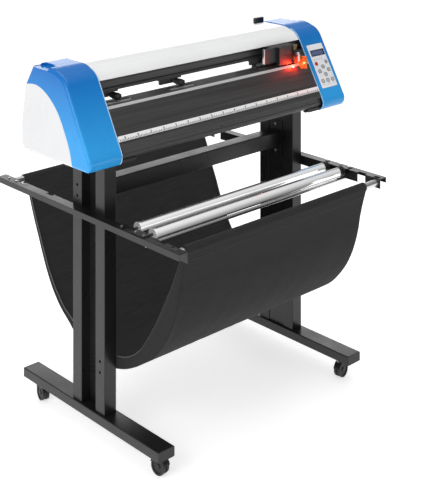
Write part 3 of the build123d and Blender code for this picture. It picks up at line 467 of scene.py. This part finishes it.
def build_basket():
    """The sheet with its folded end flaps; returns its section, the flap edges and the lengths."""
    rows = 170
    outer, length = hanging(HANG, rows)
    hem = opposite(outer, hanging(RIM, 1500)[0])
    # one cross strip: left hem, left flap, rounded fold, sheet, fold, right flap, hem
    across = [("flap", -1, f) for f in (1.0, 0.82, 0.62, 0.42, 0.25)]
    across += [("fold", -1, f) for f in (1.0, 0.75, 0.5, 0.25)]
    across += [("sheet", 0, f) for f in np.linspace(0, 1, 61)]
    across += [("fold", 1, f) for f in (0.25, 0.5, 0.75, 1.0)]
    across += [("flap", 1, f) for f in (0.25, 0.42, 0.62, 0.82, 1.0)]
    vertices, uvs = [], []
    for r in range(rows):
        y, z = outer[r]
        along = outer[min(r + 1, rows - 1)] - outer[max(r - 1, 0)]
        square = np.array((-along[1], along[0])) / np.linalg.norm(along)
        inward = hem[r] - outer[r]
        width = max(float(np.linalg.norm(inward)), 1e-6)
        inward = inward / width
        fold = min(FOLD_RADIUS, width * 0.7)
        drop = math.sin(math.pi * r / (rows - 1))
        left = sheet_end(LEFT_END, y)
        right = sheet_end(RIGHT_END, y)
        # the sheet is doubled, so it stands a little prouder, above the seams under the sleeves
        seam = SEAM_DROP if min(length[r], length[-1] - length[r]) < SEAM_LENGTH else 0.0
        for kind, side, f in across:
            if kind == "sheet":
                x = left + fold + (right - left - 2 * fold) * f
                wave = 0.0016 * math.sin(x * 23 + 1.3) * math.sin(length[r] * 8.0) * drop
                wave += 0.0010 * math.sin(x * 61 + length[r] * 13.0) * drop
                lift = abs(wave) + STANDOFF - seam
                point = (x, y + square[0] * lift, z + square[1] * lift)
                u = x
            elif kind == "fold":
                angle = f * math.pi / 2
                edge = left if side < 0 else right
                x = edge - side * (fold - fold * math.sin(angle))
                rise = fold * (1 - math.cos(angle)) + STANDOFF - seam * (1 - f)
                point = (x, y + inward[0] * rise, z + inward[1] * rise)
                u = x + side * fold * angle
            else:
                edge = left if side < 0 else right
                rise = fold + STANDOFF + (width - fold - STANDOFF) * f
                flare = min(0.003, width * 0.08) * math.sin(f * math.pi * 0.5) * drop
                ripple = 0.0008 * math.sin(length[r] * 42.0 + side) * f * drop
                x = edge - side * (flare + abs(ripple))
                point = (x, y + inward[0] * rise, z + inward[1] * rise)
                u = edge + side * (fold + width * f)
            vertices.append(point)
            uvs.append((u, length[r]))
    n = len(across)
    faces = [(r * n + c, r * n + c + 1, (r + 1) * n + c + 1, (r + 1) * n + c)
             for r in range(rows - 1) for c in range(n - 1)]
    basket = piece("basket_sheet", vertices, faces, fabric, "machine", 180)
    layer = basket.data.uv_layers.new(name="weave")
    for loop in basket.data.loops:
        layer.data[loop.index].uv = uvs[loop.vertex_index]
    thick = basket.modifiers.new("thickness", "SOLIDIFY")
    thick.thickness = CLOTH
    thick.offset = 0.0
    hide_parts("catch_basket")
    free_edges = {
        -1: [vertices[r * n] for r in range(rows)],
        1: [vertices[r * n + n - 1] for r in range(rows)],
    }
    return outer, free_edges, length


def tube(name, path, radius, look, body="machine", sides=10, closed_ends=True):
    """Round bar swept along a list of points."""
    points = [Vector(p) for p in path]
    vertices, faces = [], []
    up = Vector((0, 0, 1))
    for i, p in enumerate(points):
        along = (points[min(i + 1, len(points) - 1)] - points[max(i - 1, 0)]).normalized()
        side = along.cross(up)
        side = side.normalized() if side.length > 1e-4 else Vector((1, 0, 0))
        top = side.cross(along).normalized()
        for k in range(sides):
            angle = 2 * math.pi * k / sides
            vertices.append(p + side * radius * math.cos(angle) + top * radius * math.sin(angle))
    for i in range(len(points) - 1):
        for k in range(sides):
            m = (k + 1) % sides
            faces.append((i * sides + k, i * sides + m, (i + 1) * sides + m, (i + 1) * sides + k))
    if closed_ends:
        faces.append(tuple(reversed(range(sides))))
        faces.append(tuple((len(points) - 1) * sides + k for k in range(sides)))
    return piece(name, [tuple(v) for v in vertices], faces, look, body, 50)


outer, free_edges, length = build_basket()
for side, label in ((-1, "left"), (1, "right")):
    # rolled hem along the free edge of each flap
    path = [(x - side * 0.0018, y, z) for x, y, z in free_edges[side][2:-2]]
    hem = tube(f"basket_hem_{label}", path, 0.0019, piping, sides=8)
for side, label in ((-1, "front"), (1, "rear")):
    # sleeve sewn round the rod
    centre_y, centre_z, radius = side * ROD_Y, ROD_Z, SLEEVE_RADIUS
    low_x = sheet_end(LEFT_END, centre_y, 0.001)
    high_x = sheet_end(RIGHT_END, centre_y, -0.001)
    sleeve_points, sleeve_faces = [], []
    stations = np.linspace(low_x, high_x, 90)
    around = 28
    for x in stations:
        for k in range(around):
            angle = 2 * math.pi * k / around
            pucker = 0.00035 * math.sin(x * 160 + 3 * angle) * max(0.0, -math.sin(angle))
            sleeve_points.append((x, centre_y + (radius + pucker) * math.cos(angle),
                                  centre_z + (radius + pucker) * math.sin(angle)))
    for i in range(len(stations) - 1):
        for k in range(around):
            m = (k + 1) % around
            near, far = i * around, (i + 1) * around
            sleeve_faces.append((near + k, far + k, far + m, near + m))
    sleeve = piece(f"basket_sleeve_{label}", sleeve_points, sleeve_faces, fabric, "machine", 180)
    layer = sleeve.data.uv_layers.new(name="weave")
    for loop in sleeve.data.loops:
        co = sleeve.data.vertices[loop.vertex_index].co
        layer.data[loop.index].uv = (co.x, math.atan2(co.z - centre_z, co.y - centre_y) * radius)
    wall = sleeve.modifiers.new("thickness", "SOLIDIFY")
    wall.thickness = 0.0014
    wall.offset = -1.0
    # stitch line under the sleeve
    stitches = Shapes()
    y0, z0 = outer[4 if side < 0 else -5]
    for x in np.arange(low_x + 0.006, high_x - 0.006, 0.006):
        stitches.prism(rounded(x, 0, 0.0036, 0.0009, 0.0004, 3),
                       lambda a, b, h: (a, y0 + side * h, z0 + b), -0.0004, 0.0004)
    seam = stitches.make(f"basket_stitches_{label}", thread)

# ---- painted highlight: a pale bead along the inner front edge of each end cover ------------
def arc(first, middle, last, count):
    """Points along the circle through three points, from the first to the last."""
    (ax, ay), (bx, by), (cx, cy) = first, middle, last
    twice = 2 * (ax * (by - cy) + bx * (cy - ay) + cx * (ay - by))
    a2, b2, c2 = ax * ax + ay * ay, bx * bx + by * by, cx * cx + cy * cy
    ux = (a2 * (by - cy) + b2 * (cy - ay) + c2 * (ay - by)) / twice
    uy = (a2 * (cx - bx) + b2 * (ax - cx) + c2 * (bx - ax)) / twice
    radius = math.hypot(ax - ux, ay - uy)
    start = math.atan2(ay - uy, ax - ux)
    sweep = (math.atan2(cy - uy, cx - ux) - start + math.pi) % (2 * math.pi) - math.pi
    return [(ux + radius * math.cos(start + sweep * i / (count - 1)),
             uy + radius * math.sin(start + sweep * i / (count - 1))) for i in range(count)]


BEAD_X, BEAD_RADIUS = 0.4431, 0.0013
front_edge = arc((-20, 1129), (-45, 1118), (-62, 1100), 9)
front_edge += arc((-172.5, 905), (-175, 884), (-158, 865), 14)[:-2]
for side, label in ((-1, "left"), (1, "right")):
    bead = [(side * BEAD_X, y * MM, z * MM) for y, z in front_edge]
    tube(f"cover_painted_highlight_{label}", bead, BEAD_RADIUS, painted_edge_highlight, sides=8)

# ---- keypad on the right cover -------------------------------------------------------------
SLOPE = Vector((0, 0.11050, 0.195)).normalized()
OUTWARD = Vector((0, -0.195, 0.1105)).normalized()
PANEL_TOP = Vector((0, -0.062, 1.100))


def on_panel(x, down, height):
    """Point on the slanted face: x across, down the slope, height above the film, in millimetres."""
    return Vector((x * MM, 0, 0)) + PANEL_TOP - SLOPE * (down * MM) + OUTWARD * ((height + 0.8) * MM)


KEY_PLACES = ((482, 129), (528, 129), (505, 115), (505, 143), (479, 164), (504, 164), (529, 164))
LAMP_X = (476, 489, 502, 515)

screen_frame = Shapes()
screen_frame.prism(rounded(504.5, 63, 69, 22, 1.5), on_panel, -0.2, 0.7, rounded(503, 63, 59, 15, 0.8))
screen_frame.make("screen_frame", screen_black)
screen = Shapes()
screen.prism(rounded(503, 63, 59, 15, 0.8), on_panel, -0.2, 0.25)
screen.make("screen_glass", screen_blue)
text_rows = Shapes()
for row in range(2):
    for cell in range(14):
        if (cell * 7 + row * 5) % 11 < 8:
            cell_outline = rounded(477.5 + cell * 3.9, 59.5 + row * 6.4, 2.6, 4.0, 0.3, 2)
            text_rows.prism(cell_outline, on_panel, 0.25, 0.3)
text_rows.make("screen_cells", screen_dark)

lamps = Shapes()
for x in LAMP_X:
    lamps.prism(circle(x, 84, 1.6, 16), on_panel, 0.0, 0.5)
lamps.make("status_lamps", lamp_grey)
marks = Shapes()
for x in LAMP_X:
    marks.prism(rounded(x, 89, 6.5, 0.9, 0.3, 2), on_panel, 0.0, 0.12)
keys = Shapes()
red_key = Shapes()
red_key.prism(circle(478, 101, 7.0), on_panel, 0.0, 1.0)
red_key.make("stop_key", key_red, smooth=40)
keys.prism(circle(529, 100, 7.2), on_panel, 0.0, 1.0)
keys.make("pause_key", key_grey, smooth=40)
rings = Shapes()
for x, down in KEY_PLACES:
    rings.prism(rounded(x, down, 14.5, 13.0, 5.0), on_panel, 0.0, 0.9,
                rounded(x, down, 11.0, 9.5, 3.6))
rings.make("key_rings", key_dark, smooth=40)
pads = Shapes()
for x, down in KEY_PLACES:
    pads.prism(rounded(x, down, 11.0, 9.5, 3.6), on_panel, 0.0, 0.6)
pads.make("key_pads", key_light, smooth=40)
for x, down, turn in ((482, 129, 180), (528, 129, 0), (505, 115, 270), (505, 143, 90)):
    c, d = math.cos(math.radians(turn)), math.sin(math.radians(turn))
    arrow = [(x + 3.0 * c, down + 3.0 * d), (x - 2 * c - 2.8 * d, down - 2 * d + 2.8 * c),
             (x - 2 * c + 2.8 * d, down - 2 * d - 2.8 * c)]
    marks.prism(arrow, on_panel, 0.6, 0.75)
for x in (479, 504, 529):
    marks.prism(rounded(x, 164, 5.5, 1.2, 0.4, 2), on_panel, 0.6, 0.75)
    marks.prism(rounded(x, 176, 8.0, 1.0, 0.4, 2), on_panel, 0.0, 0.12)
marks.make("keypad_marks", key_dark)

# ---- ruler graduations ---------------------------------------------------------------------
RULE_UP = Vector((0, 0.0084, 0.0149)).normalized()
RULE_OUT = Vector((0, -0.0149, 0.0084)).normalized()
RULE_FOOT = Vector((0, -0.1598, 0.932))


def on_ruler(x, up, height):
    return Vector((x * MM, 0, 0)) + RULE_FOOT + RULE_UP * (up * MM) + RULE_OUT * (height * MM)


RULE_START, RULE_LENGTH = 435, 870
ticks = Shapes()
for step in range(0, RULE_LENGTH + 1, 5):
    x = RULE_START - step
    reach = 10.0 if step % 50 == 0 else (8.0 if step % 10 == 0 else 6.0)
    wide = 2.6 if step % 50 == 0 else 2.0
    ticks.prism([(x - wide / 2, 0.6), (x + wide / 2, 0.6), (x + wide / 2, reach), (x - wide / 2, reach)],
                on_ruler, 0.0, 0.06)
ticks.make("ruler_ticks", print_black)
across = Matrix((Vector((1, 0, 0)), RULE_UP, RULE_OUT)).transposed().to_4x4()
for step in range(50, RULE_LENGTH + 1, 50):
    data = bpy.data.curves.new(f"ruler_number_{step}", "FONT")
    data.body = str(step // 10)
    data.size = 0.0075
    data.align_x = "CENTER"
    data.extrude = 0.00003
    data.materials.append(print_black.material)
    number = bpy.data.objects.new(f"ruler_number_{step}", data)
    bpy.context.scene.collection.objects.link(number)
    number.matrix_world = Matrix.Translation(on_ruler(RULE_START - step, 8.6, 0.05)) @ across
    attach(number, "machine")

# ---- carriage vent -------------------------------------------------------------------------
vent = Shapes()
for row in range(7):
    for column in range(12):
        slot_x = 304 + column * 5
        slot_z = 1068 + row * 3.6
        vent.prism(rounded(slot_x, slot_z, 3.4, 1.8, 0.6, 3),
                   lambda a, b, h: (a * MM, -0.103 - h * MM, b * MM), 0.0, 0.5)
vent.make("carriage_vent", vent_grey, "carriage")

# ---- laser: its glow and its spot on the strip, both on the carriage -----------------------
spot_data = bpy.data.lights.new("laser_spot", "POINT")
spot_data.energy = 0.35
spot_data.color = (1.0, 0.03, 0.01)
spot_data.shadow_soft_size = 0.004
spot = bpy.data.objects.new("laser_spot", spot_data)
bpy.context.scene.collection.objects.link(spot)
spot.location = (0.361, -0.120, 1.028)
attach(spot, "carriage")

dot = Shapes()
dot.prism(circle(361.0, 0.0, 2.2, 20), lambda a, b, h: Vector((a * MM, -0.1105, 1.0196))
          + RULE_UP * (b * MM) + RULE_OUT * ((h + 0.6) * MM), 0.0, 0.2)
dot.make("laser_dot", laser_glow, "carriage")

# ---- stage, light, camera ------------------------------------------------------------------
SKY_BASE, SKY_TOP, SKY_LEFT, SKY_FRONT_LOSS = 0.2, 0.42, 0.4, 0.6
KEY, TOP, FRONT, RIM_LIGHT = 38, 34, 4, 20
FLOOR_GLOW = 0.6


def area(name, place, target, size, energy):
    data = bpy.data.lights.new(name, "AREA")
    data.shape = "RECTANGLE"
    data.size, data.size_y = size
    data.energy = energy
    light = bpy.data.objects.new(name, data)
    bpy.context.scene.collection.objects.link(light)
    light.location = place
    light.visible_camera = False
    light.rotation_euler = (Vector(target) - Vector(place)).to_track_quat("-Z", "Y").to_euler()
    return light


floor_mesh = bpy.data.meshes.new("floor")
floor_mesh.from_pydata([(-12, -12, 0), (12, -12, 0), (12, 12, 0), (-12, 12, 0)], [], [(0, 1, 2, 3)])
floor = bpy.data.objects.new("floor", floor_mesh)
bpy.context.scene.collection.objects.link(floor)
floor_look = Look("floor_white", (0.9, 0.9, 0.9), 0.7)
floor_look.put("Base Color", floor_look.mix(floor_look.noise(2.0), (0.9, 0.9, 0.9), (0.87, 0.87, 0.875)))
floor_look.put("Emission Color", (1, 1, 1, 1))
floor_look.put("Emission Strength", FLOOR_GLOW)
floor_look.put("Specular IOR Level", 0.1)
floor_mesh.materials.append(floor_look.material)


def studio_world():
    """White to the camera; to the object a room that is bright above and on the left, dim in front."""
    world = bpy.data.worlds.new("studio")
    world.use_nodes = True
    nodes, links = world.node_tree.nodes, world.node_tree.links
    background = nodes["Background"]

    def step(operation, a, b=0.0):
        made = nodes.new("ShaderNodeMath")
        made.operation = operation
        for index, value in enumerate((a, b)):
            if isinstance(value, bpy.types.NodeSocket):
                links.new(value, made.inputs[index])
            else:
                made.inputs[index].default_value = value
        return made.outputs[0]

    way = nodes.new("ShaderNodeTexCoord").outputs["Generated"]
    split = nodes.new("ShaderNodeSeparateXYZ")
    links.new(way, split.inputs[0])
    x, y, z = split.outputs
    above = step("MULTIPLY", step("MAXIMUM", z, 0.0), SKY_TOP)
    leftness = step("MAXIMUM", step("MULTIPLY", x, -1.0), 0.0)
    leftward = step("MULTIPLY", step("POWER", leftness, 1.5), SKY_LEFT)
    frontward = step("POWER", step("MAXIMUM", step("MULTIPLY", y, -1.0), 0.0), 1.5)
    light = step("ADD", step("ADD", SKY_BASE, above), leftward)
    light = step("MULTIPLY", light, step("SUBTRACT", 1.0, step("MULTIPLY", frontward, SKY_FRONT_LOSS)))
    seen = nodes.new("ShaderNodeLightPath").outputs["Is Camera Ray"]
    strength = step("MAXIMUM", light, seen)
    links.new(strength, background.inputs["Strength"])
    background.inputs["Color"].default_value = (1, 1, 1, 1)
    bpy.context.scene.world = world


studio_world()
area("key", (-3.4, -0.9, 2.3), (0, 0, 0.7), (2.2, 1.6), KEY)
area("top", (0.1, 0.0, 3.6), (0, 0, 0.8), (3.2, 1.8), TOP)
area("front", (0.6, -3.6, 2.6), (0.2, 0, 0.9), (2.0, 1.2), FRONT)
area("rim", (2.7, 2.9, 1.9), (0, 0, 0.8), (3.4, 0.9), RIM_LIGHT)

VIEW = 0.817                       # heading of the level camera, from +X towards +Y
LENS_SHIFT = -0.8997
camera_data = bpy.data.cameras.new("camera")
camera_data.lens = 83.48
camera_data.sensor_width = 36.0
camera = bpy.data.objects.new("camera", camera_data)
bpy.context.scene.collection.objects.link(camera)
camera.location = (-2.5463, -2.8250, 1.9355)
heading = Vector((math.cos(VIEW), math.sin(VIEW), 0))
camera.rotation_mode = "QUATERNION"
camera.rotation_quaternion = heading.to_track_quat("-Z", "Y")
bpy.context.scene.camera = camera

# lens shift only where the camera stands for the main picture: an F-curve on the distance moved
home = bpy.data.objects.new("camera_home", None)
bpy.context.scene.collection.objects.link(home)
home.location = camera.location
curve = camera_data.driver_add("shift_y")
curve.driver.type = "SUM"
distance = curve.driver.variables.new()
distance.name = "moved"
distance.type = "LOC_DIFF"
distance.targets[0].id = camera
distance.targets[1].id = home
for modifier in list(curve.modifiers):
    curve.modifiers.remove(modifier)
for moved, shift in ((0.0, LENS_SHIFT), (0.05, LENS_SHIFT), (0.1, 0.0), (100.0, 0.0)):
    curve.keyframe_points.insert(moved, shift).interpolation = "LINEAR"

bpy.context.scene.view_settings.view_transform = "Standard"
